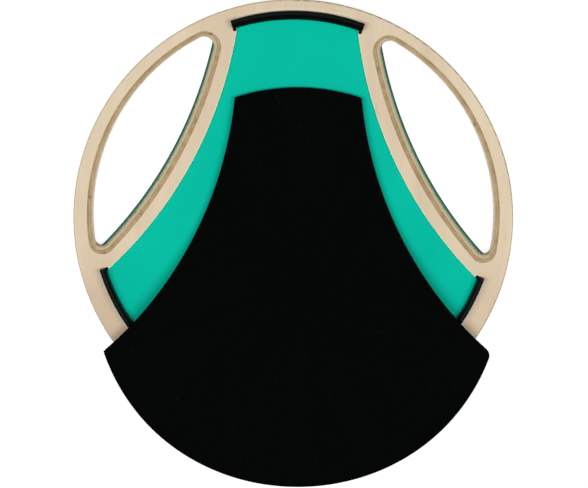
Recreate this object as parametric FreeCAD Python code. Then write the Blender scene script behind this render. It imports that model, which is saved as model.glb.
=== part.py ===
import FreeCAD, Part
import math
import os

# Practice pad: a round plywood board with a bell-shaped playing pocket, two crescent
# hand-holes, black rim strips standing in the pocket, a non-slip sheet underneath,
# and a loose fabric-faced overlay laid on top. Millimetres throughout.
# +Z is up, +Y points away from the player, and the origin is the centre of the
# board on the face that rests on the table.

# Driving dimensions
board_diameter = 355.6
base_sheet_thickness = 3.0
board_thickness = 12.0
pocket_depth = 6.0
pad_thickness = 4.0
top_strip_width = 6.6
lower_strip_width = 4.5
strip_height = 12.0
overlay_core_thickness = 4.0
overlay_face_thickness = 1.0

board_radius = board_diameter / 2
board_arris = 1.2
base_sheet_setback = 2.0

# Bell-shaped pocket: a disc whose two upper flanks are cut away by larger circles
pocket_centre_y = 5.7
pocket_radius = 163.2
flank_centre_x = 383.3
flank_centre_y = 202.9
flank_radius = 339.0
pocket_arris = 0.4

# Crescent hand-holes: what two crossing circles have in common. A shallow step through
# the face veneer runs round each, wider along its inner side, then the edge is rounded.
hole_outer_centre_y = 3.0
hole_outer_radius = 162.7
hole_inner_centre_x = 405.2
hole_inner_centre_y = 214.2
hole_inner_radius = 347.1
hole_near_corner = 6.1
hole_far_corner = 7.5
hole_top_round = 3.9
step_depth = 0.5
step_outer_width = 4.1
step_inner_width = 6.3
step_near_corner = 10.8
step_far_corner = 12.8
hole_bottom_round = 1.5
sheet_proud = 2.2
sheet_hole_setback = 4.0

# Rim strips, placed by angle about the pocket centre
top_strip_half_angle = 19.0
lower_strip_start = 17.2
strip_side_gap = 0.2
strip_end_gap = 0.3
strip_outer_round = 1.0
strip_crest = 0.5
notch_radius = 1.6
notch_inward = 0.8
notch_from_end = 1.1

# Overlay: outline in its own axes, then turned and moved to where it lies
overlay_radius = 165.0
overlay_top_arc_drop = 4.2
overlay_lower_arc_drop = 3.2
overlay_flank_x = 363.0
overlay_flank_y = 184.4
overlay_flank_radius = 314.0
overlay_left_corner = 1.0
overlay_right_corner = 7.0
overlay_turn = 1.05
overlay_x = 4.6
overlay_y = -52.2
resting_gap = 0.3

# Side profile of the overlay: flat on the pad, up over the lower strip, then a sag
rise_start_y = 64.0
rise_end_y = -26.0
sag_start_y = -100.0
sag_radius = 420.0
overlay_reach = 185.0

# Heights
board_bottom = base_sheet_thickness
board_top = board_bottom + board_thickness
pocket_floor = board_top - pocket_depth
pad_top = pocket_floor + pad_thickness
strip_top = pocket_floor + strip_height

up = FreeCAD.Vector(0, 0, 1)
away = FreeCAD.Vector(0, 1, 0)


def disc(radius, x, y, bottom, height, flare=0):
    """Upright disc; its top radius is larger than its bottom radius by the flare."""
    base = FreeCAD.Vector(x, y, bottom)
    if flare == 0:
        return Part.makeCylinder(radius, height, base, up)
    return Part.makeCone(radius, radius + flare, height, base, up)


def side_discs(radius, x, y, bottom, height, flare=0):
    return [disc(radius, side * x, y, bottom, height, flare) for side in (-1, 1)]


def bell(radius, flank_gap, bottom, height, flare=0):
    body = disc(radius, 0, pocket_centre_y, bottom, height, flare)
    cut_radius = flank_radius + flank_gap
    return body.cut(side_discs(cut_radius, flank_centre_x, flank_centre_y, bottom, height, -flare))


def edges_where(shape, test):
    return [edge for edge in shape.Edges if test(edge)]


def is_upright(edge):
    box = edge.BoundBox
    return box.XLength < 0.01 and box.YLength < 0.01


def lies_at(edge, height):
    return abs(edge.BoundBox.ZMin - height) < 0.01 and abs(edge.BoundBox.ZMax - height) < 0.01


def is_rim(edge, radius):
    return abs(edge.BoundBox.XLength / 2 - radius) < 0.5


def touches_wall(edge, shape):
    """Whether a face that reaches the underside of the board ends at this edge."""
    faces = shape.ancestorsOfType(edge, Part.Face)
    return any(abs(face.BoundBox.ZMin - board_bottom) < 0.01 for face in faces)


def crescents(grow_outer, grow_inner, near_corner, far_corner, bottom, height):
    outer = disc(hole_outer_radius + grow_outer, 0, hole_outer_centre_y, bottom, height)
    inner_radius = hole_inner_radius + grow_inner
    shapes = []
    for inner in side_discs(inner_radius, hole_inner_centre_x, hole_inner_centre_y, bottom, height):
        crescent = outer.common(inner)
        middle_y = crescent.BoundBox.Center.y
        near = edges_where(crescent, lambda e: is_upright(e) and e.BoundBox.YMax < middle_y)
        crescent = crescent.makeFillet(near_corner, near)
        far = edges_where(crescent, lambda e: is_upright(e) and e.BoundBox.YMin > middle_y)
        shapes.append(crescent.makeFillet(far_corner, far))
    return shapes


def ring_sector(section_points, start_angle, sweep):
    """Turn a closed section, given as (radius, height) points, about the pocket centre."""
    points = [FreeCAD.Vector(radius, 0, height) for radius, height in section_points]
    section = Part.Face(Part.makePolygon(points + points[:1]))
    sector = section.revolve(FreeCAD.Vector(0, 0, 0), up, sweep)
    sector.rotate(FreeCAD.Vector(0, 0, 0), up, start_angle)
    sector.translate(away * pocket_centre_y)
    return sector


def strip_section(width, gap, bottom, top):
    outer = pocket_radius - strip_side_gap + gap
    inner = outer - width - 2 * gap
    return [(inner, bottom), (outer, bottom), (outer, top), (inner, top)]


def distance_to_centre(edge):
    point = edge.valueAt((edge.FirstParameter + edge.LastParameter) / 2)
    return math.hypot(point.x, point.y - pocket_centre_y)


def rim_strip(width, start_angle, sweep):
    """The crest runs near the outer side; the inner side falls away in a large round."""
    strip = ring_sector(strip_section(width, 0, pocket_floor, strip_top), start_angle, sweep)
    outer = pocket_radius - strip_side_gap
    rounds = {outer: strip_outer_round, outer - width: width - strip_outer_round - strip_crest}
    for arc_radius, round_radius in rounds.items():
        edges = edges_where(
            strip,
            lambda e: lies_at(e, strip_top)
            and e.Length > 2 * width
            and abs(distance_to_centre(e) - arc_radius) < 0.1,
        )
        strip = strip.makeFillet(round_radius, edges)
    return strip


# Width, start angle and sweep of each strip
strips = {
    "rim_strip_top": (top_strip_width, 90 - top_strip_half_angle, 2 * top_strip_half_angle),
    "rim_strip_lower": (lower_strip_width, 180 + lower_strip_start, 180 - 2 * lower_strip_start),
}


def strip_slots():
    """Slots for the strips, with a small drilled notch at the inner corner of each end."""
    end_angle = math.degrees(strip_end_gap / pocket_radius)
    notch_angle = math.degrees(notch_from_end / pocket_radius)
    slots = []
    for width, start, sweep in strips.values():
        section = strip_section(width, strip_side_gap, pocket_floor, board_top + 1)
        slots.append(ring_sector(section, start - end_angle, sweep + 2 * end_angle))
        reach = pocket_radius - width - notch_inward
        for angle in (start + notch_angle, start + sweep - notch_angle):
            x = reach * math.cos(math.radians(angle))
            y = pocket_centre_y + reach * math.sin(math.radians(angle))
            slots.append(disc(notch_radius, x, y, pocket_floor, pocket_depth + 1))
    return slots


def plywood_board():
    board = disc(board_radius, 0, 0, board_bottom, board_thickness)
    board = board.cut(crescents(
        0, 0, hole_near_corner, hole_far_corner, board_bottom, board_thickness))
    step_floor = board_top - step_depth
    board = board.cut(crescents(
        step_outer_width, step_inner_width, step_near_corner, step_far_corner,
        step_floor, step_depth))
    wall_edges = edges_where(board, lambda e: lies_at(e, step_floor) and touches_wall(e, board))
    board = board.makeFillet(hole_top_round, wall_edges)
    low_edges = edges_where(board, lambda e: lies_at(e, board_bottom) and not is_rim(e, board_radius))
    board = board.makeFillet(hole_bottom_round, low_edges)
    rim_edges = edges_where(board, lambda e: is_rim(e, board_radius) and not is_upright(e))
    board = board.makeFillet(board_arris, rim_edges)
    board = board.cut(bell(pocket_radius, 0, pocket_floor, pocket_depth))
    board = board.cut(bell(pocket_radius, 0, board_top - pocket_arris, pocket_arris, pocket_arris))
    return board.cut(strip_slots())


def playing_pad():
    """The wider top strip takes a little off the pad's top arc."""
    radius = pocket_radius - lower_strip_width - 2 * strip_side_gap
    pad = bell(radius, strip_side_gap, pocket_floor, pad_thickness)
    centre_y = pocket_centre_y - (top_strip_width - lower_strip_width)
    return pad.common(disc(radius, 0, centre_y, pocket_floor, pad_thickness))


def base_sheet():
    sheet = disc(board_radius - base_sheet_setback, 0, 0, 0, base_sheet_thickness)
    return sheet.cut(crescents(
        sheet_hole_setback, -sheet_proud, hole_near_corner, hole_far_corner,
        0, base_sheet_thickness))


def overlay_outline():
    height = 60
    outline = disc(overlay_radius, 0, -overlay_lower_arc_drop, 0, height)
    outline = outline.common(disc(overlay_radius, 0, -overlay_top_arc_drop, 0, height))
    outline = outline.cut(side_discs(overlay_flank_radius, overlay_flank_x, overlay_flank_y, 0, height))
    left = edges_where(outline, lambda e: is_upright(e) and e.BoundBox.XMax < 0)
    outline = outline.makeFillet(overlay_left_corner, left)
    right_wing = edges_where(outline, lambda e: is_upright(e) and e.BoundBox.XMin > overlay_radius / 2)
    return outline.makeFillet(overlay_right_corner, right_wing)


def arc_between(centre, radius, first, last):
    """Arc in the YZ plane; angles are in degrees from +Y towards +Z."""
    points = []
    for angle in (first, (first + last) / 2, last):
        along = radius * math.cos(math.radians(angle))
        rise = radius * math.sin(math.radians(angle))
        points.append(FreeCAD.Vector(0, centre[0] + along, centre[1] + rise))
    return Part.Arc(*points).toShape()


def overlay_path(offset):
    """The overlay's side profile, raised square to itself by the offset."""
    low = pad_top + resting_gap
    high = strip_top + resting_gap
    half_run = (rise_start_y - rise_end_y) / 2
    rise = high - low
    bend_radius = (half_run ** 2 + (rise / 2) ** 2) / rise
    bend = math.degrees(math.asin(half_run / bend_radius))
    sag = math.degrees(math.asin((overlay_reach + sag_start_y) / sag_radius))
    lower_bend = arc_between((rise_start_y, low + bend_radius), bend_radius - offset, 270, 270 - bend)
    upper_bend = arc_between((rise_end_y, high - bend_radius), bend_radius + offset, 90 - bend, 90)
    sagging = arc_between((sag_start_y, high - sag_radius), sag_radius + offset, 90, 90 + sag)
    far_point = FreeCAD.Vector(0, overlay_reach, low + offset)
    return [
        Part.makeLine(far_point, lower_bend.Vertexes[0].Point),
        lower_bend,
        upper_bend,
        Part.makeLine(upper_bend.Vertexes[-1].Point, sagging.Vertexes[0].Point),
        sagging,
    ]


def overlay_layer(bottom_offset, top_offset):
    below = overlay_path(bottom_offset)
    above = overlay_path(top_offset)
    far_end = Part.makeLine(below[0].Vertexes[0].Point, above[0].Vertexes[0].Point)
    near_end = Part.makeLine(below[-1].Vertexes[-1].Point, above[-1].Vertexes[-1].Point)
    wire = Part.Wire(Part.__sortEdges__(below + above + [far_end, near_end]))
    slab = Part.Face(wire).extrude(FreeCAD.Vector(2 * overlay_reach, 0, 0))
    slab.translate(FreeCAD.Vector(-overlay_reach, 0, 0))
    layer = slab.common(overlay_outline())
    layer.rotate(FreeCAD.Vector(0, 0, 0), up, overlay_turn)
    layer.translate(FreeCAD.Vector(overlay_x, overlay_y, 0))
    return layer


def single_solid(name, shape):
    solids = shape.Solids
    if len(solids) != 1 or not solids[0].isValid():
        raise ValueError(name + " is not one valid solid")
    return solids[0]


def export(name, shape):
    solid = single_solid(name, shape)
    box = solid.optimalBoundingBox()
    print(name, "volume", round(solid.Volume / 1000, 2), "cm3,",
          "x", round(box.XMin, 1), round(box.XMax, 1),
          "y", round(box.YMin, 1), round(box.YMax, 1),
          "z", round(box.ZMin, 2), round(box.ZMax, 2))
    solid.exportStep("parts/" + name + ".step")


os.makedirs("parts", exist_ok=True)
export("plywood_board", plywood_board())
export("playing_pad", playing_pad())
for strip_name, (width, start_angle, sweep) in strips.items():
    export(strip_name, rim_strip(width, start_angle, sweep))
export("base_sheet", base_sheet())
overlay_thickness = overlay_core_thickness + overlay_face_thickness
export("overlay_core", overlay_layer(0, overlay_core_thickness))
export("overlay_face", overlay_layer(overlay_core_thickness, overlay_thickness))
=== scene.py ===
import bmesh
import bpy
import math
from mathutils import Matrix, Vector


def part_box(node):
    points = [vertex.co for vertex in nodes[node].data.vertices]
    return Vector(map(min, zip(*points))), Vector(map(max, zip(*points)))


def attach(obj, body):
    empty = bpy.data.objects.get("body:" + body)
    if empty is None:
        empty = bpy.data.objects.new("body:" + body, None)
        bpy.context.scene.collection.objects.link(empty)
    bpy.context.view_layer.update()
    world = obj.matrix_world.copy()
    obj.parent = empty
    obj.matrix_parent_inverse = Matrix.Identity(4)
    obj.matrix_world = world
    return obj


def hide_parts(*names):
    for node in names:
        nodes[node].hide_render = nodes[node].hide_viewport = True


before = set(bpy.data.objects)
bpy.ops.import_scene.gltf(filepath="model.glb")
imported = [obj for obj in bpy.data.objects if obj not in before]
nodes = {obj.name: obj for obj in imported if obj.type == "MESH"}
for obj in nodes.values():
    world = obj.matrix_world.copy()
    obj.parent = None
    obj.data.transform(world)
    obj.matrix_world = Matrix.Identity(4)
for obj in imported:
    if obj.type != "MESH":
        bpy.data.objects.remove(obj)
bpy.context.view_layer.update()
scene = bpy.context.scene
scene.view_settings.view_transform = "Standard"
mm = 0.001
print("frame loaded:", ", ".join(sorted(nodes)))


# camera, looking down from a little beyond the top of the board

cameraSizes = {
    "aim": (1.1 * mm, -18 * mm, 15 * mm),
    "distance": 1.3,
    "tilt": math.radians(9),
    "roll": math.radians(1.3),
    "lens": 98.28,
    "sensorWidth": 36,
}


def makeCamera():
    size = cameraSizes
    back = Vector((0, math.sin(size["tilt"]), math.cos(size["tilt"])))
    right = Vector((1, 0, 0))
    up = back.cross(right)
    turnedRight = right * math.cos(size["roll"]) + up * math.sin(size["roll"])
    turnedUp = up * math.cos(size["roll"]) - right * math.sin(size["roll"])
    data = bpy.data.cameras.new("camera")
    data.lens = size["lens"]
    data.sensor_width = size["sensorWidth"]
    camera = bpy.data.objects.new("camera", data)
    turn = Matrix((turnedRight, turnedUp, back)).transposed().to_4x4()
    place = Vector(size["aim"]) + back * size["distance"]
    camera.matrix_world = Matrix.Translation(place) @ turn
    scene.collection.objects.link(camera)
    scene.camera = camera


makeCamera()
print("camera set")


# nodes from plain expressions, for materials and geometry alike

class Wire:
    # a socket that adds its Math nodes when used in an expression
    def __init__(self, maker, socket):
        self.maker = maker
        self.socket = socket

    def math(self, operation, *others):
        return self.maker.node("ShaderNodeMath", {"operation": operation}, [self, *others])

    def mathAfter(self, operation, other):
        return self.maker.node("ShaderNodeMath", {"operation": operation}, [other, self])

    def __add__(self, other):
        return self.math("ADD", other)

    def __radd__(self, other):
        return self.mathAfter("ADD", other)

    def __sub__(self, other):
        return self.math("SUBTRACT", other)

    def __rsub__(self, other):
        return self.mathAfter("SUBTRACT", other)

    def __mul__(self, other):
        return self.math("MULTIPLY", other)

    def __rmul__(self, other):
        return self.mathAfter("MULTIPLY", other)

    def __truediv__(self, other):
        return self.math("DIVIDE", other)

    def __rtruediv__(self, other):
        return self.mathAfter("DIVIDE", other)

    def part(self, axis):
        return self.maker.node("ShaderNodeSeparateXYZ", {}, [self], out=axis)

    def between(self, start, end, low=0.0, high=1.0):
        # low before start, high after end
        return self.maker.node("ShaderNodeMapRange", {}, {
            "Value": self, "From Min": start, "From Max": end, "To Min": low, "To Max": high})

    def near(self, start, end):
        # 1 before start, 0 after end
        return 1 - self.between(start, end)


class Maker:
    # adds nodes to one tree: the settings first, then the values or links of the sockets
    def __init__(self, tree):
        self.tree = tree

    def plug(self, socket, value):
        if isinstance(value, Wire):
            self.tree.links.new(value.socket, socket)
        elif value is not None:
            socket.default_value = value

    def node(self, kind, settings=None, values=None, out=0):
        made = self.tree.nodes.new(kind)
        for key, setting in (settings or {}).items():
            if key == "stops":
                self.setStops(made.color_ramp, setting)
            else:
                setattr(made, key, setting)
        pairs = values.items() if isinstance(values, dict) else enumerate(values or [])
        for key, value in pairs:
            self.plug(made.inputs[key], value)
        return Wire(self, made.outputs[out])

    def setStops(self, ramp, stops):
        while len(ramp.elements) < len(stops):
            ramp.elements.new(0.5)
        for element, (place, level) in zip(ramp.elements, stops):
            element.position = place
            element.color = (level, level, level, 1.0)


class Finish(Maker):
    # one material with its nodes
    def __init__(self, name):
        self.material = bpy.data.materials.new(name)
        self.material.use_nodes = True
        super().__init__(self.material.node_tree)
        self.tree.nodes.clear()
        self.output = self.tree.nodes.new("ShaderNodeOutputMaterial")

    def ramp(self, factor, stops, interpolation="LINEAR"):
        made = self.node("ShaderNodeValToRGB", {"stops": stops}, [factor])
        made.socket.node.color_ramp.interpolation = interpolation
        return made

    def fade(self, factor, start, end, share=1.0):
        # 0 before start, the given share after end
        return self.ramp(factor, [(start, 0.0), (end, share)])

    def place(self, stretch=(1, 1, 1), shift=(0, 0, 0)):
        coords = self.node("ShaderNodeTexCoord", out="Object")
        return self.node("ShaderNodeMapping", {}, {
            "Vector": coords, "Location": shift, "Scale": stretch})

    def mirrored(self, where):
        # flat place with the left half folded onto the right
        return self.node("ShaderNodeCombineXYZ", {}, [
            where.part("X").math("ABSOLUTE"), where.part("Y"), 0.0])

    def noise(self, where, scale, detail=2.0, roughness=0.5, distortion=0.0):
        return self.node("ShaderNodeTexNoise", {}, {
            "Vector": where, "Scale": scale, "Detail": detail,
            "Roughness": roughness, "Distortion": distortion})

    def pattern(self, stretch=(1, 1, 1), shift=(0, 0, 0), scale=1.0, **grain):
        return self.noise(self.place(stretch, shift), scale, **grain)

    def cells(self, scale):
        return self.node("ShaderNodeTexVoronoi", {}, {"Vector": self.place(), "Scale": scale})

    def mix(self, factor, first, second):
        # a colour Mix node takes its colours at sockets 6 and 7 and gives its result at 2
        return self.node(
            "ShaderNodeMix", {"data_type": "RGBA"}, {0: factor, 6: first, 7: second}, out=2)

    def reach(self, where, centre):
        return self.node(
            "ShaderNodeVectorMath", {"operation": "DISTANCE"}, [where, centre], out="Value")

    def bump(self, height, distance, strength, under=None):
        return self.node("ShaderNodeBump", {}, {
            "Strength": strength, "Distance": distance, "Height": height, "Normal": under})

    def surface(self, **sockets):
        shader = self.node("ShaderNodeBsdfPrincipled", {}, {
            key.replace("_", " "): value for key, value in sockets.items()})
        self.plug(self.output.inputs["Surface"], shader)
        return self.material


def srgb(red, green, blue):
    # screen colour, 0 to 255, as the linear colour that a socket takes
    def linear(level):
        level = level / 255
        return level / 12.92 if level <= 0.04045 else ((level + 0.055) / 1.055) ** 2.4
    return (linear(red), linear(green), linear(blue), 1.0)


def paint(nodeName, material):
    target = nodes[nodeName]
    if not target.material_slots:
        target.data.materials.append(material)
    for slot in target.material_slots:
        slot.material = material


# birch plywood: veneer on the faces, alternate plies wherever the edge is cut or rounded

plySizes = {
    "faceVeneer": 0.43 * mm,
    "cutSoftness": 0.04 * mm,
    "cutWaver": 0.1 * mm,
    "darkPlies": ((0.43 * mm, 0.66 * mm), (2.9 * mm, 4.2 * mm), (5.4 * mm, 6.0 * mm)),
    "glueLine": 0.09 * mm,
    "glueShare": 0.45,
    "glueColour": srgb(120, 94, 62),
    "waver": 0.22 * mm,
    "waverNoise": {"scale": 24.0},

    # face: long soft figure, warmer patches, fine pores and a few flecks
    "figure": {"stretch": (30, 4, 30), "detail": 4, "roughness": 0.55, "distortion": 0.8},
    "figureFade": (0.32, 0.70),
    "patches": {"shift": (0.3, 0.1, 0), "scale": 11.0},
    "patchFade": (0.48, 0.72, 0.8),
    "pores": {"stretch": (1300, 70, 1300), "roughness": 0.6},
    "poreFade": (0.54, 0.78, 0.30),
    "poreBump": (0.04 * mm, 0.35),
    "flecks": {"stretch": (420, 60, 420), "detail": 1, "roughness": 0.4},
    "fleckFade": (0.70, 0.80, 0.35),
    "veneerColour": srgb(224, 205, 176),
    "veneerShade": srgb(211, 191, 161),
    "veneerPink": srgb(223, 200, 172),
    "poreColour": srgb(192, 169, 134),
    "roughness": (0.42, 0.58),

    # darker veneer beside the ends of the lower strip, more on the left
    "duskColour": srgb(203, 179, 151),
    "duskCentre": (150 * mm, -78 * mm, 0.0),
    "duskReach": (22 * mm, 62 * mm),
    "duskWaver": 40 * mm,
    "duskLeft": 0.9,
    "duskRight": 0.5,
    "duskBlend": 50 * mm,

    # around the pocket
    "pocketFlank": (383.3 * mm, 202.9 * mm, 0.0),
    "pocketFlankRadius": 339.0 * mm,
    "pocketCentre": (0.0, 5.7 * mm, 0.0),
    "pocketRadius": 163.2 * mm,
    "pocketEnd": 1 * mm,
    # the pocket wall is painted paler than the face: painted light against its shade
    "litPocketWall": srgb(238, 230, 202),
    "litPocketWallReach": (1 * mm, 3 * mm),
    # painted green bounce light on the veneer beside the pocket
    "greenBounceColour": srgb(206, 203, 166),
    "greenBounceReach": (0.4 * mm, 3.2 * mm),
    "greenBounceShare": 0.75,
    # painted highlight on the pocket's broken edges, and painted light that lifts the shadow
    # beside the strips
    "brokenEdgeHighlight": srgb(248, 244, 222),
    "brokenEdgeHighlightReach": (0.4 * mm, 0.6 * mm),
    "stripShadowLiftReach": (0.4 * mm, 3.0 * mm),
    "stripShadowLiftStart": 3 * mm,
    "stripShadowLiftShare": 0.5,
    # painted shade in the small reliefs at the ends of the strips
    "reliefShadeColour": srgb(26, 28, 25),
    "reliefReach": (1.9 * mm, 2.2 * mm),
    "reliefDepth": (0.3 * mm, 0.6 * mm),
    "reliefs": ((math.radians(18.6), 155.8 * mm), (math.radians(107.6), 157.9 * mm)),

    # cut plies: streaks, blotches and small knots
    "fibre": {"stretch": (230, 230, 1500), "detail": 3, "roughness": 0.6},
    "fibreFade": (0.35, 0.72),
    "blotches": {"scale": 95.0, "detail": 4, "roughness": 0.7},
    "blotchFade": (0.38, 0.64),
    "knots": {"stretch": (150, 150, 420), "detail": 1, "roughness": 0.4},
    "knotFade": (0.71, 0.77, 0.75),
    "knotColour": srgb(122, 88, 54),
    "lightPly": srgb(206, 192, 162),
    "lightPlyShade": srgb(190, 172, 140),
    "lightStreaks": 0.8,
    "darkPly": srgb(182, 157, 114),
    "darkPlyShade": srgb(146, 118, 76),
    "darkStreaks": 0.35,
    "darkBlotches": 0.65,
    "plyBump": (0.06 * mm, 0.4),

    # outer sides of the hand-holes, and the rim
    "holeCentreY": 3.0 * mm,
    "scorchReach": (161.4 * mm, 162.4 * mm),
    "scorched": srgb(194, 167, 128),
    "scorchedShade": srgb(172, 146, 106),
    # the lower outer wall of each hand-hole: paler wood, lifted further by painted light
    "litLowWall": srgb(240, 221, 195),
    "litLowWallDepth": (1.3 * mm, 3.4 * mm),
    "rimReach": (168 * mm, 170 * mm),
    "rimShade": srgb(184, 166, 142),
    "rimShadeDepth": (0.08 * mm, 0.16 * mm),
}


def birchPlywood():
    size = plySizes
    finish = Finish("birchPlywood")
    low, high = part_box("plywood_board")
    half = (high.z - low.z) / 2
    where = finish.place()
    mirrored = finish.mirrored(where)
    height = where.part("Z")
    waver = finish.pattern(**size["waverNoise"]) - 0.5
    depth = half - (height - (low.z + half)).math("ABSOLUTE")
    level = (depth + waver * size["waver"]) / half

    # how far past the pocket's flanks and round ends, and how far from the middle of the arcs
    # that the outer sides of the hand-holes follow
    pastFlank = finish.reach(mirrored, size["pocketFlank"]) - size["pocketFlankRadius"]
    pastDisc = finish.reach(mirrored, size["pocketCentre"]) - size["pocketRadius"]
    fromWall = pastFlank.math("ABSOLUTE")
    inDisc = pastDisc.near(0.0, size["pocketEnd"])
    across = finish.reach(finish.place((1, 1, 0)), (0, size["holeCentreY"], 0))
    insideRim = across.near(*size["rimReach"])

    # face veneer
    figure = finish.pattern(**size["figure"])
    pores = finish.pattern(**size["pores"])
    patches = finish.fade(finish.pattern(**size["patches"]), *size["patchFade"])
    flecks = finish.fade(finish.pattern(**size["flecks"]), *size["fleckFade"])
    veneer = finish.mix(
        finish.fade(figure, *size["figureFade"]), size["veneerColour"], size["veneerShade"])
    veneer = finish.mix(patches, veneer, size["veneerPink"])
    dusk = finish.reach(mirrored, size["duskCentre"]) + waver * size["duskWaver"]
    duskShare = where.part("X").between(
        -size["duskBlend"], size["duskBlend"], size["duskLeft"], size["duskRight"])
    veneer = finish.mix(dusk.near(*size["duskReach"]) * duskShare, veneer, size["duskColour"])
    # beside the pocket the veneer is tinted green: painted green light bounced from the rubber
    greenBounce = fromWall.near(*size["greenBounceReach"]) * inDisc
    veneer = finish.mix(greenBounce * size["greenBounceShare"], veneer, size["greenBounceColour"])
    # broken edges of the pocket, painted paler than the face: a painted highlight beside the
    # rubber, and beside the strips painted light that lifts the strips' shadow
    flankHighlight = fromWall.near(*size["brokenEdgeHighlightReach"]) * inDisc
    besideStrip = pastFlank.between(-size["stripShadowLiftStart"], 0.0)
    stripShadowLift = pastDisc.math("ABSOLUTE").near(*size["stripShadowLiftReach"]) * besideStrip
    paintedEdgeLight = flankHighlight.math("MAXIMUM", stripShadowLift * size["stripShadowLiftShare"])
    veneer = finish.mix(paintedEdgeLight, veneer, size["brokenEdgeHighlight"])
    veneer = finish.mix(finish.fade(pores, *size["poreFade"]), veneer, size["poreColour"])
    veneer = finish.mix(flecks, veneer, size["poreColour"])

    # cut plies, darker where the fibres end at the cut, with glue lines and small knots
    isDark = finish.ramp(level, plyStops(half), "CONSTANT")
    streaks = finish.fade(finish.pattern(**size["fibre"]), *size["fibreFade"])
    blotches = finish.fade(finish.pattern(**size["blotches"]), *size["blotchFade"])
    lightPly = finish.mix(streaks * size["lightStreaks"], size["lightPly"], size["lightPlyShade"])
    darkPly = finish.mix(
        streaks * size["darkStreaks"] + blotches * size["darkBlotches"],
        size["darkPly"], size["darkPlyShade"])
    # the outer side of each hand-hole is cut across the grain and dark at the top; lower down it
    # is painted paler, partly paler wood and partly painted light that lifts the wall's shade
    scorch = across.between(*size["scorchReach"]) * insideRim
    scorched = finish.mix(blotches, size["scorched"], size["scorchedShade"])
    lightPly = finish.mix(scorch, lightPly, scorched)
    plies = finish.mix(isDark, lightPly, darkPly)
    litLowWall = scorch * (high.z - height).between(*size["litLowWallDepth"])
    plies = finish.mix(litLowWall, plies, size["litLowWall"])
    # the pocket wall runs with the grain, so its plies hardly show; it is also painted paler than
    # the face, painted light that lifts its shade
    onLitWall = fromWall.near(*size["litPocketWallReach"]) * insideRim
    plies = finish.mix(onLitWall, plies, size["litPocketWall"])
    glue = finish.ramp(level, glueStops(half))
    plies = finish.mix(glue * size["glueShare"], plies, size["glueColour"])
    knots = finish.fade(finish.pattern(**size["knots"]), *size["knotFade"])
    plies = finish.mix(knots * (1 - onLitWall), plies, size["knotColour"])

    toCut = (depth + waver * size["cutWaver"]).between(
        size["faceVeneer"] - size["cutSoftness"], size["faceVeneer"] + size["cutSoftness"])
    colour = finish.mix(toCut, veneer, plies)
    # the small reliefs at the ends of the strips are painted black: painted shade inside the holes
    inReliefShade = depth.between(*size["reliefDepth"])
    for turn, fromCentre in size["reliefs"]:
        reliefY = size["pocketCentre"][1] + fromCentre * math.cos(turn)
        fromRelief = finish.reach(mirrored, (fromCentre * math.sin(turn), reliefY, 0.0))
        inRelief = fromRelief.near(*size["reliefReach"])
        colour = finish.mix(inRelief * inReliefShade, colour, size["reliefShadeColour"])
    # the sanded outer rim turns away from the light
    onRim = across.between(*size["rimReach"]) * depth.between(*size["rimShadeDepth"])
    colour = finish.mix(onRim * (1 - toCut), colour, size["rimShade"])

    grainBump = finish.bump(pores, *size["poreBump"])
    normal = finish.bump((isDark - glue) * toCut, *size["plyBump"], under=grainBump)
    return finish.surface(
        Base_Color=colour, Roughness=figure.between(0.0, 1.0, *size["roughness"]), Normal=normal,
        Coat_Weight=0.08, Coat_Roughness=0.35, Specular_IOR_Level=0.25)


def plyStops(half):
    stops = [(0.0, 0.0)]
    for start, end in plySizes["darkPlies"]:
        stops += [(start / half, 1.0), (end / half, 0.0)]
    return stops[:-1]


def glueStops(half):
    line = plySizes["glueLine"] / half
    edges = [edge / half for pair in plySizes["darkPlies"] for edge in pair][1:-1]
    stops = [(0.0, 0.0)]
    for edge in edges:
        stops += [(edge - line, 0.0), (edge, 1.0), (edge + line, 0.0)]
    return stops


# rim strips: smooth black rubber with faint die lines running around it

stripSizes = {
    "centreY": 5.7 * mm,
    # the faint green in these near-black colours is painted green reflection from the pad
    "colour": srgb(3, 8, 6),
    "dustColour": srgb(12, 18, 16),
    "dust": {"scale": 90.0, "detail": 4, "roughness": 0.6},
    "dustFade": (0.50, 0.85, 0.5),
    "roughness": (0.26, 0.42),
    "skin": {"scale": 1600.0, "roughness": 0.6},
    "skinBump": (0.03 * mm, 0.25),
    "lineScale": 1500.0,
    "lineBump": (0.03 * mm, 0.3),
}


def stripRubber():
    size = stripSizes
    finish = Finish("stripRubber")
    dust = finish.pattern(**size["dust"])
    colour = finish.mix(
        finish.fade(dust, *size["dustFade"]), size["colour"], size["dustColour"])
    fromCentre = finish.reach(finish.place((1, 1, 0)), (0, size["centreY"], 0))
    section = finish.node("ShaderNodeCombineXYZ", {}, [fromCentre, finish.place().part("Z"), 0.0])
    lines = finish.noise(section, size["lineScale"])
    skinBump = finish.bump(finish.pattern(**size["skin"]), *size["skinBump"])
    normal = finish.bump(lines, *size["lineBump"], under=skinBump)
    return finish.surface(
        Base_Color=colour, Roughness=dust.between(0.0, 1.0, *size["roughness"]), Normal=normal,
        Specular_IOR_Level=0.05)


# outlines: arcs of circles with a small round where they meet, seen from above

outlineStep = 2 * mm
roundStep = outlineStep / 4


def away(start, end):
    return (end - start).normalized()


def crossing(first, firstReach, second, secondReach, side):
    # where two circles cross, on the given side of the line between their centres
    gap = second - first
    along = (firstReach ** 2 - secondReach ** 2 + gap.length ** 2) / (2 * gap.length)
    across = math.sqrt(firstReach ** 2 - along ** 2)
    unit = gap.normalized()
    return first + unit * along + Vector((-unit.y, unit.x)) * across * side


def arcPoints(centre, start, end, step, clockwise=False):
    radius = (start - centre).length
    first = math.atan2(start.y - centre.y, start.x - centre.x)
    last = math.atan2(end.y - centre.y, end.x - centre.x)
    sweep = (last - first) % (2 * math.pi)
    if clockwise:
        sweep -= 2 * math.pi
    count = max(3, math.ceil(abs(sweep) * radius / step))
    angles = [first + sweep * index / count for index in range(count)]
    return [centre + radius * Vector((math.cos(angle), math.sin(angle))) for angle in angles]


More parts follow.
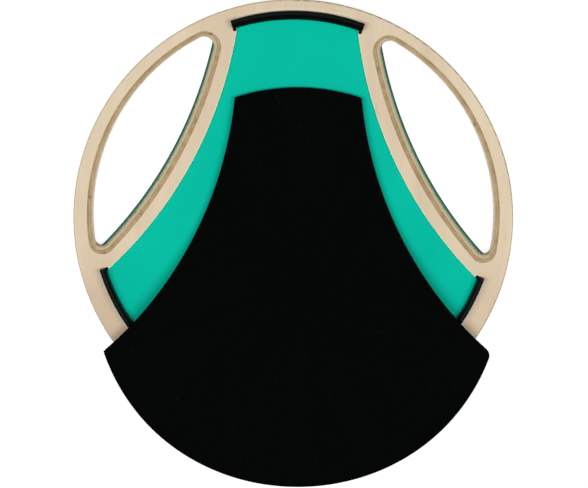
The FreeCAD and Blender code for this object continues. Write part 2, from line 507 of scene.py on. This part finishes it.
def bellOutline(topDisc, lowDisc, flank, topRound, leftRound, rightRound):
    # a disc is its centre's y and its radius, a flank is x, y and radius
    # runs counter-clockwise from the right wing
    top, low = Vector((0, topDisc[0])), Vector((0, lowDisc[0]))
    right, left = Vector((flank[0], flank[1])), Vector((-flank[0], flank[1]))
    corners = [
        (low, lowDisc[1], right, rightRound, -1),
        (top, topDisc[1], right, topRound, 1),
        (top, topDisc[1], left, topRound, -1),
        (low, lowDisc[1], left, leftRound, 1),
    ]
    rounds = []
    for disc, discRadius, side, cornerRound, hand in corners:
        centre = crossing(disc, discRadius - cornerRound, side, flank[2] + cornerRound, hand)
        onDisc = disc + away(disc, centre) * discRadius
        onFlank = side + away(side, centre) * flank[2]
        rounds.append((centre, onDisc, onFlank))
    wingRight, topRight, topLeft, wingLeft = rounds
    return (
        arcPoints(wingRight[0], wingRight[1], wingRight[2], roundStep)
        + arcPoints(right, wingRight[2], topRight[2], outlineStep, clockwise=True)
        + arcPoints(topRight[0], topRight[2], topRight[1], roundStep)
        + arcPoints(top, topRight[1], topLeft[1], outlineStep)
        + arcPoints(topLeft[0], topLeft[1], topLeft[2], roundStep)
        + arcPoints(left, topLeft[2], wingLeft[2], outlineStep, clockwise=True)
        + arcPoints(wingLeft[0], wingLeft[2], wingLeft[1], roundStep)
        + arcPoints(low, wingLeft[1], wingRight[1], outlineStep)
    )


def crescentOutline(outerDisc, innerDisc, nearRound, farRound):
    # a disc is its centre's x and y and its radius
    outer, inner = Vector(outerDisc[:2]), Vector(innerDisc[:2])
    outerRadius, innerRadius = outerDisc[2], innerDisc[2]
    rounds = []
    for hand, cornerRound in ((-1, nearRound), (1, farRound)):
        centre = crossing(outer, outerRadius - cornerRound, inner, innerRadius - cornerRound, hand)
        onOuter = outer + away(outer, centre) * outerRadius
        onInner = inner + away(inner, centre) * innerRadius
        rounds.append((centre, onOuter, onInner))
    lower, upper = rounds
    return (
        arcPoints(outer, lower[1], upper[1], outlineStep)
        + arcPoints(upper[0], upper[1], upper[2], roundStep)
        + arcPoints(inner, upper[2], lower[2], outlineStep)
        + arcPoints(lower[0], lower[2], lower[1], roundStep)
    )


def outlineCurve(name, outlines, dimensions="3D"):
    data = bpy.data.curves.new(name, "CURVE")
    data.dimensions = dimensions
    for outline in outlines:
        spline = data.splines.new("POLY")
        spline.points.add(len(outline) - 1)
        for point, place in zip(spline.points, outline):
            point.co = (place.x, place.y, 0, 1)
        spline.use_cyclic_u = True
    made = bpy.data.objects.new(name, data)
    scene.collection.objects.link(made)
    return made


# a sheet with rounded edges, made from its closed outline and bent over its support

edgeSteps = 5
weldGap = 0.01 * mm


class SheetTree(Maker):
    # one geometry nodes tree with named inputs
    def __init__(self, name):
        super().__init__(bpy.data.node_groups.new(name, "GeometryNodeTree"))
        for way in ("OUTPUT", "INPUT"):
            self.tree.interface.new_socket(
                "Geometry", in_out=way, socket_type="NodeSocketGeometry")
        self.entry = self.tree.nodes.new("NodeGroupInput")
        self.exit = self.tree.nodes.new("NodeGroupOutput")
        self.source = Wire(self, self.entry.outputs["Geometry"])

    def input(self, name, kind, value=None):
        socket = self.tree.interface.new_socket(
            name, in_out="INPUT", socket_type="NodeSocket" + kind)
        self.plug(socket, value)
        return Wire(self, self.entry.outputs[name])

    def close(self, geometry):
        self.plug(self.exit.inputs["Geometry"], geometry)
        return self.tree


def sheetTree():
    # left at their defaults, the rise, the sag and the ripple leave the sheet flat
    tree = SheetTree("sheetFromOutline")
    around = tree.input("Points Around", "Int", 400)
    rings = tree.input("Rings", "Int", 60)
    thickness = tree.input("Thickness", "Float")
    edge = tree.input("Edge Round", "Float")
    baseHeight = tree.input("Base Height", "Float")
    riseStart = tree.input("Rise Start", "Float", 1.0)
    riseEnd = tree.input("Rise End", "Float", 0.9)
    rise = tree.input("Rise", "Float")
    sagStart = tree.input("Sag Start", "Float", -1.0)
    sagRadius = tree.input("Sag Radius", "Float", 1.0)
    ripple = tree.input("Ripple", "Float")
    rippleScale = tree.input("Ripple Scale", "Float", 11.0)
    seed = tree.input("Seed", "Float", 3.0)
    turn = tree.input("Turn", "Float")
    place = tree.input("Place", "Vector")
    material = tree.input("Material", "Material")

    # rows run over the top from the middle, round the edge and back under to the middle
    rows = rings * 2 + (2 * edgeSteps + 2)
    grid = tree.node("GeometryNodeMeshGrid", {}, {
        "Size X": 1.0, "Size Y": 1.0, "Vertices X": around + 1.0, "Vertices Y": rows})
    index = tree.node("GeometryNodeInputIndex")
    row = index.math("MODULO", rows)
    column = (index / rows).math("FLOOR")
    sample = tree.node("GeometryNodeSampleCurve", {"mode": "FACTOR", "use_all_curves": True}, {
        "Curves": tree.source, "Factor": (column / around).math("FRACT")}, out="Position")
    underRow = rings + (2 * edgeSteps + 1)
    topShare = row.between(0.0, rings)
    underShare = row.near(underRow, underRow + rings)
    upperArc = row.between(rings, rings + edgeSteps) * (math.pi / 2)
    wall = row.between(rings + edgeSteps, rings + (edgeSteps + 1))
    lowerArc = row.between(rings + (edgeSteps + 1), underRow) * (math.pi / 2)
    inset = edge * (1 - upperArc.math("SINE")) + edge * (1 - lowerArc.math("COSINE"))
    height = (
        thickness
        - edge * (1 - upperArc.math("COSINE"))
        - wall * (thickness - edge * 2)
        - edge * lowerArc.math("SINE")
    )
    reach = tree.node("ShaderNodeVectorMath", {"operation": "LENGTH"}, [sample], out="Value")
    share = topShare * underShare * (1 - inset / reach)
    flat = tree.node(
        "ShaderNodeVectorMath", {"operation": "SCALE"}, {"Vector": sample, "Scale": share})
    x, y = flat.part("X"), flat.part("Y")

    # up over the support in two equal bends, then a sag past its edge
    climb = (riseStart - y) / (riseStart - riseEnd)
    climb = climb.math("MAXIMUM", 0.0).math("MINIMUM", 1.0)
    lowHalf = climb.math("MINIMUM", 0.5)
    highHalf = (1 - climb).math("MINIMUM", 0.5)
    lift = rise * (lowHalf * lowHalf * 2 + 0.5 - highHalf * highHalf * 2)
    past = (sagStart - y).math("MAXIMUM", 0.0)
    sag = past * past / (sagRadius * 2)
    wave = tree.node("ShaderNodeTexNoise", {"noise_dimensions": "4D"}, {
        "Vector": flat, "W": seed, "Scale": rippleScale, "Detail": 1.0})
    total = baseHeight + height + lift - sag + (wave - 0.5) * ripple
    position = tree.node("ShaderNodeCombineXYZ", {}, [x, y, total])
    shaped = tree.node("GeometryNodeSetPosition", {}, {"Geometry": grid, "Position": position})
    # the flat place is kept, so that a knit follows the cloth
    stored = tree.node(
        "GeometryNodeStoreNamedAttribute", {"data_type": "FLOAT2", "domain": "CORNER"},
        {"Geometry": shaped, "Name": "clothRun", "Value": flat})
    merged = tree.node(
        "GeometryNodeMergeByDistance", {}, {"Geometry": stored, "Distance": weldGap})
    smooth = tree.node("GeometryNodeSetShadeSmooth", {}, {"Geometry": merged})
    swing = tree.node("ShaderNodeCombineXYZ", {}, [0.0, 0.0, turn])
    placed = tree.node("GeometryNodeTransform", {}, {
        "Geometry": smooth, "Translation": place, "Rotation": swing})
    real = tree.node("GeometryNodeRealizeInstances", {}, {"Geometry": placed})
    return tree.close(tree.node("GeometryNodeSetMaterial", {}, {
        "Geometry": real, "Material": material}))


def plainMesh(source):
    # the finished shape of a curve or of an object with a tree, which is then removed
    graph = bpy.context.evaluated_depsgraph_get()
    mesh = bpy.data.meshes.new_from_object(source.evaluated_get(graph), depsgraph=graph)
    bpy.data.objects.remove(source)
    return mesh


def runTree(source, tree, inputs):
    modifier = source.modifiers.new(tree.name, "NODES")
    modifier.node_group = tree
    sockets = {item.name: item.identifier for item in tree.interface.items_tree
               if item.item_type == "SOCKET" and item.in_out == "INPUT"}
    for key, value in inputs.items():
        modifier[sockets[key]] = value
    return plainMesh(source)


def addPiece(name, mesh):
    # doubles are merged before the faces are turned outwards
    shell = bmesh.new()
    shell.from_mesh(mesh)
    bmesh.ops.remove_doubles(shell, verts=shell.verts, dist=weldGap)
    bmesh.ops.recalc_face_normals(shell, faces=shell.faces)
    shell.to_mesh(mesh)
    shell.free()
    mesh.name = name
    made = bpy.data.objects.new(name, mesh)
    scene.collection.objects.link(made)
    return made


sheetNodes = sheetTree()


# playing pad: smooth rubber that fills the pocket between the strips

padSizes = {
    "radius": 158.3 * mm,
    "centreY": 5.7 * mm,
    "topGap": 2.1 * mm,
    "flank": (383.3 * mm, 202.9 * mm, 339.01 * mm),
    "cornerRound": 0.8 * mm,
    "edgeRound": 0.1 * mm,
    "pointsAround": 480,
    "rings": 40,
    "colour": srgb(0, 191, 163),
    "shade": srgb(0, 184, 158),
    "cloud": {"scale": 14.0, "detail": 3},
    "cloudFade": (0.30, 0.72),
    "skin": {"scale": 900.0, "roughness": 0.6},
    "skinBump": (0.05 * mm, 0.35),
    "sheen": {"scale": 60.0, "detail": 3, "roughness": 0.6},
    "roughness": (0.46, 0.62),
}


def padRubber():
    size = padSizes
    finish = Finish("padRubber")
    cloud = finish.fade(finish.pattern(**size["cloud"]), *size["cloudFade"])
    return finish.surface(
        Base_Color=finish.mix(cloud, size["colour"], size["shade"]),
        Roughness=finish.pattern(**size["sheen"]).between(0.0, 1.0, *size["roughness"]),
        Normal=finish.bump(finish.pattern(**size["skin"]), *size["skinBump"]),
        Specular_IOR_Level=0.025)


def makePlayingPad():
    size = padSizes
    low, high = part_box("playing_pad")
    outline = bellOutline(
        (size["centreY"] - size["topGap"], size["radius"]), (size["centreY"], size["radius"]),
        size["flank"], size["cornerRound"], size["cornerRound"], size["cornerRound"])
    mesh = runTree(outlineCurve("padOutline", [outline]), sheetNodes, {
        "Points Around": size["pointsAround"], "Rings": size["rings"],
        "Thickness": high.z - low.z, "Edge Round": size["edgeRound"],
        "Base Height": low.z, "Material": padRubber()})
    pad = addPiece("playingPad", mesh)
    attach(pad, "board")
    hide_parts("playing_pad")


# overlay: foam layer with a fine jersey knit bonded to it, lying askew over the lower strip

overlaySizes = {
    "radius": 165.0 * mm,
    "topArcDrop": 4.2 * mm,
    "lowerArcDrop": 3.2 * mm,
    "flank": (363.0 * mm, 184.4 * mm, 314.0 * mm),
    "topRound": 1.0 * mm,
    "leftRound": 1.0 * mm,
    "rightRound": 7.0 * mm,
    "turn": math.radians(1.05),
    "place": (4.6 * mm, -52.2 * mm, 0.0),
    "riseStart": 64 * mm,
    "riseEnd": -26 * mm,
    "sagStart": -100 * mm,
    "sagRadius": 420 * mm,
    "faceThickness": 1.0 * mm,
    "coreInset": 0.25 * mm,
    "faceRound": 0.4 * mm,
    "coreRound": 0.5 * mm,
    "ripple": 0.3 * mm,
    "pointsAround": 520,
    "rings": 70,
    "cut": (0.3134, 0.3286),
    "cutArea": 0.0631,
    "foamColour": srgb(26, 27, 25),
    "foamPore": srgb(42, 43, 40),
    "foamPoreScale": 1400.0,
    "foamPoreStops": [(0.25, 1.0), (0.6, 0.0)],
    "foamBump": (0.2 * mm, 0.5),
    "wale": 0.9 * mm,
    "course": 0.7 * mm,
    "loopLean": 1.3,
    "thread": srgb(9, 11, 10),
    "gap": srgb(2, 3, 3),
    "threadBump": (0.2 * mm, 0.6),
    "tone": {"scale": 700.0, "detail": 3, "roughness": 0.6},
    "toneShare": 0.3,
    "lint": {"scale": 320.0, "detail": 4, "roughness": 0.7},
    "lintFade": (0.66, 0.80, 0.35),
    "lintColour": srgb(24, 27, 26),
}


def foamRubber():
    size = overlaySizes
    finish = Finish("foamRubber")
    pores = finish.cells(size["foamPoreScale"])
    colour = finish.mix(
        finish.ramp(pores, size["foamPoreStops"]), size["foamColour"], size["foamPore"])
    return finish.surface(
        Base_Color=colour, Roughness=0.85, Specular_IOR_Level=0.1,
        Normal=finish.bump(pores, *size["foamBump"]))


def blackCloth():
    size = overlaySizes
    finish = Finish("blackCloth")
    uv = finish.node("ShaderNodeUVMap", {"uv_map": "clothRun"})
    across = uv.part("X") / size["wale"]
    along = uv.part("Y") / size["course"]
    # each loop leans to the middle of its wale
    fold = (across.math("FRACT") - 0.5).math("ABSOLUTE")
    loops = ((along + fold * size["loopLean"]) * (2 * math.pi)).math("SINE")
    waleRound = (across * math.pi).math("SINE").math("ABSOLUTE")
    thread = (loops * 0.5 + 0.5) * waleRound
    tone = finish.pattern(**size["tone"])
    colour = finish.mix(
        thread * (1 - size["toneShare"]) + tone * size["toneShare"], size["gap"], size["thread"])
    lint = finish.fade(finish.pattern(**size["lint"]), *size["lintFade"])
    return finish.surface(
        Base_Color=finish.mix(lint, colour, size["lintColour"]), Roughness=0.92,
        Specular_IOR_Level=0.02, Normal=finish.bump(thread, *size["threadBump"]))


def overlayLayer(name, base, thickness, inset, edgeRound, material):
    size = overlaySizes
    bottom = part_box("overlay_core")[0].z
    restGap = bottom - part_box("playing_pad")[1].z
    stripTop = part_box("rim_strip_lower")[1].z
    radius = size["radius"] - inset
    flankX, flankY, flankRadius = size["flank"]
    outline = bellOutline(
        (-size["topArcDrop"], radius), (-size["lowerArcDrop"], radius),
        (flankX, flankY, flankRadius + inset),
        size["topRound"], size["leftRound"], size["rightRound"])
    mesh = runTree(outlineCurve(name + "Outline", [outline]), sheetNodes, {
        "Points Around": size["pointsAround"], "Rings": size["rings"],
        "Thickness": thickness, "Edge Round": edgeRound, "Base Height": bottom + base,
        "Rise Start": size["riseStart"], "Rise End": size["riseEnd"],
        "Rise": stripTop + restGap - bottom,
        "Sag Start": size["sagStart"], "Sag Radius": size["sagRadius"],
        "Ripple": size["ripple"], "Turn": size["turn"], "Place": size["place"],
        "Material": material})
    return addPiece(name, mesh)


def makeOverlay():
    size = overlaySizes
    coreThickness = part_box("overlay_face")[0].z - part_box("overlay_core")[0].z
    core = overlayLayer(
        "overlayCore", 0.0, coreThickness, size["coreInset"], size["coreRound"], foamRubber())
    face = overlayLayer(
        "overlayFace", coreThickness, size["faceThickness"], 0.0, size["faceRound"], blackCloth())
    layers = ((core, "foam_rubber", "overlay_core"), (face, "black_cloth", "overlay_face"))
    for piece, slot, node in layers:
        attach(piece, "overlay")
        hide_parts(node)


# base sheet: grip rubber under the board, a little proud along the inner side of each hand-hole

baseSizes = {
    "radius": 175.8 * mm,
    "rimPoints": 360,
    "outerDisc": (0.0, 3.0 * mm, 166.7 * mm),
    "innerDisc": (405.2 * mm, 214.2 * mm, 344.9 * mm),
    "nearRound": 6.1 * mm,
    "farRound": 7.5 * mm,
    "edgeRound": 0.4 * mm,
    "bevelSteps": 2,
    "colour": srgb(84, 164, 132),
    "shade": srgb(64, 144, 114),
    "cloud": {"scale": 20.0, "detail": 3},
    "pebbleScale": 620.0,
    "pebbleBump": (0.25 * mm, 0.6),
    # painted shade on the sheet's edge inside each hand-hole
    "shadedEdgeColour": srgb(26, 92, 70),
    "shadedEdgeStart": (343.4 * mm, 344.4 * mm),
    "shadedEdgeEnd": (345.7 * mm, 346.3 * mm),
    "shadedEdgeWithin": (156.7 * mm, 160.7 * mm),
}


def baseRubber():
    size = baseSizes
    finish = Finish("baseRubber")
    colour = finish.mix(finish.pattern(**size["cloud"]), size["colour"], size["shade"])
    # the sheet's edge inside each hand-hole is painted darker than the rest: painted shade on its
    # side wall
    mirrored = finish.mirrored(finish.place())
    fromInner = finish.reach(mirrored, (*size["innerDisc"][:2], 0.0))
    fromOuter = finish.reach(mirrored, (*size["outerDisc"][:2], 0.0))
    onShadedEdge = fromInner.between(*size["shadedEdgeStart"]) * fromInner.near(*size["shadedEdgeEnd"])
    withinHole = fromOuter.near(*size["shadedEdgeWithin"])
    return finish.surface(
        Base_Color=finish.mix(onShadedEdge * withinHole, colour, size["shadedEdgeColour"]),
        Roughness=0.7, Specular_IOR_Level=0.25,
        Normal=finish.bump(finish.cells(size["pebbleScale"]), *size["pebbleBump"]))


def makeBaseSheet():
    size = baseSizes
    low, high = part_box("base_sheet")
    angles = [2 * math.pi * index / size["rimPoints"] for index in range(size["rimPoints"])]
    rim = [size["radius"] * Vector((math.cos(angle), math.sin(angle))) for angle in angles]
    hole = crescentOutline(
        size["outerDisc"], size["innerDisc"], size["nearRound"], size["farRound"])
    otherHole = [Vector((-point.x, point.y)) for point in hole]
    curve = outlineCurve("baseOutline", [rim, hole, otherHole], "2D")
    curve.data.fill_mode = "BOTH"
    curve.data.extrude = (high.z - low.z) / 2 - size["edgeRound"]
    curve.data.bevel_depth = size["edgeRound"]
    curve.data.bevel_resolution = size["bevelSteps"]
    curve.data.offset = -size["edgeRound"]
    mesh = plainMesh(curve)
    mesh.transform(Matrix.Translation((0, 0, (low.z + high.z) / 2)))
    mesh.materials.clear()
    mesh.materials.append(baseRubber())
    sheet = addPiece("gripSheet", mesh)
    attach(sheet, "board")
    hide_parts("base_sheet")


# floor, room and lamps

stageSizes = {
    "white": (1, 1, 1, 1),
    "floorSize": 8.0,
    "floorDrop": 0.2 * mm,
    "floorColour": (0.92, 0.92, 0.92, 1),
    "cameraGlow": 0.80,
    "cameraShade": (0.34, 0.34, 0.34, 1),
    "roomLight": 0.165,
    "sideEnergy": 11.2,
    "sideWidth": 0.35,
    "sideLength": 1.0,
    "sideReach": 0.72,
    "sideHeight": 1.35,
    "topEnergy": 1.7,
    "topY": -0.3,
    "topHeight": 1.8,
    "topSize": 0.5,
}


def makeFloor():
    size = stageSizes
    bpy.ops.mesh.primitive_plane_add(size=size["floorSize"], location=(0, 0, -size["floorDrop"]))
    floor = bpy.context.object
    floor.name = "floor"
    finish = Finish("paleFloor")
    plain = finish.node("ShaderNodeBsdfDiffuse", {}, {"Color": size["floorColour"]})
    # the camera sees it white, with the shadows that fall on it
    shade = finish.node("ShaderNodeBsdfDiffuse", {}, {"Color": size["cameraShade"]})
    glow = finish.node("ShaderNodeEmission", {}, {
        "Color": size["white"], "Strength": size["cameraGlow"]})
    seen = finish.node("ShaderNodeAddShader", {}, [glow, shade])
    isCamera = finish.node("ShaderNodeLightPath", out="Is Camera Ray")
    mixed = finish.node("ShaderNodeMixShader", {}, [isCamera, plain, seen])
    finish.plug(finish.output.inputs["Surface"], mixed)
    floor.data.materials.append(finish.material)


def makeRoom():
    # the camera sees a white room past the floor
    size = stageSizes
    world = bpy.data.worlds.new("studio")
    world.use_nodes = True
    room = Maker(world.node_tree)
    room.tree.nodes.clear()
    light = room.node("ShaderNodeBackground", {}, {
        "Color": size["white"], "Strength": size["roomLight"]})
    seen = room.node("ShaderNodeBackground", {}, {"Color": size["white"], "Strength": 1.0})
    isCamera = room.node("ShaderNodeLightPath", out="Is Camera Ray")
    mixed = room.node("ShaderNodeMixShader", {}, [isCamera, light, seen])
    room.plug(room.tree.nodes.new("ShaderNodeOutputWorld").inputs["Surface"], mixed)
    scene.world = world


def addLamp(name, place, energy, width, length):
    # a soft panel aimed at the middle of the board
    data = bpy.data.lights.new(name, "AREA")
    data.shape = "RECTANGLE"
    data.size = width
    data.size_y = length
    data.energy = energy
    lamp = bpy.data.objects.new(name, data)
    lamp.location = place
    lamp.rotation_euler = (-Vector(place)).to_track_quat("-Z", "Y").to_euler()
    scene.collection.objects.link(lamp)


def makeLamps():
    size = stageSizes
    for side, name in ((-1, "leftSoftbox"), (1, "rightSoftbox")):
        addLamp(
            name, (side * size["sideReach"], 0, size["sideHeight"]),
            size["sideEnergy"], size["sideWidth"], size["sideLength"])
    addLamp(
        "topPanel", (0, size["topY"], size["topHeight"]),
        size["topEnergy"], size["topSize"], size["topSize"])


makeFloor()
makeRoom()
makeLamps()
print("floor and lamps set")

paint("plywood_board", birchPlywood())
strips = stripRubber()
paint("rim_strip_top", strips)
paint("rim_strip_lower", strips)
print("board and rim strips finished")

makePlayingPad()
print("playing pad made")
makeBaseSheet()
print("grip sheet made")
makeOverlay()
print("overlay made")
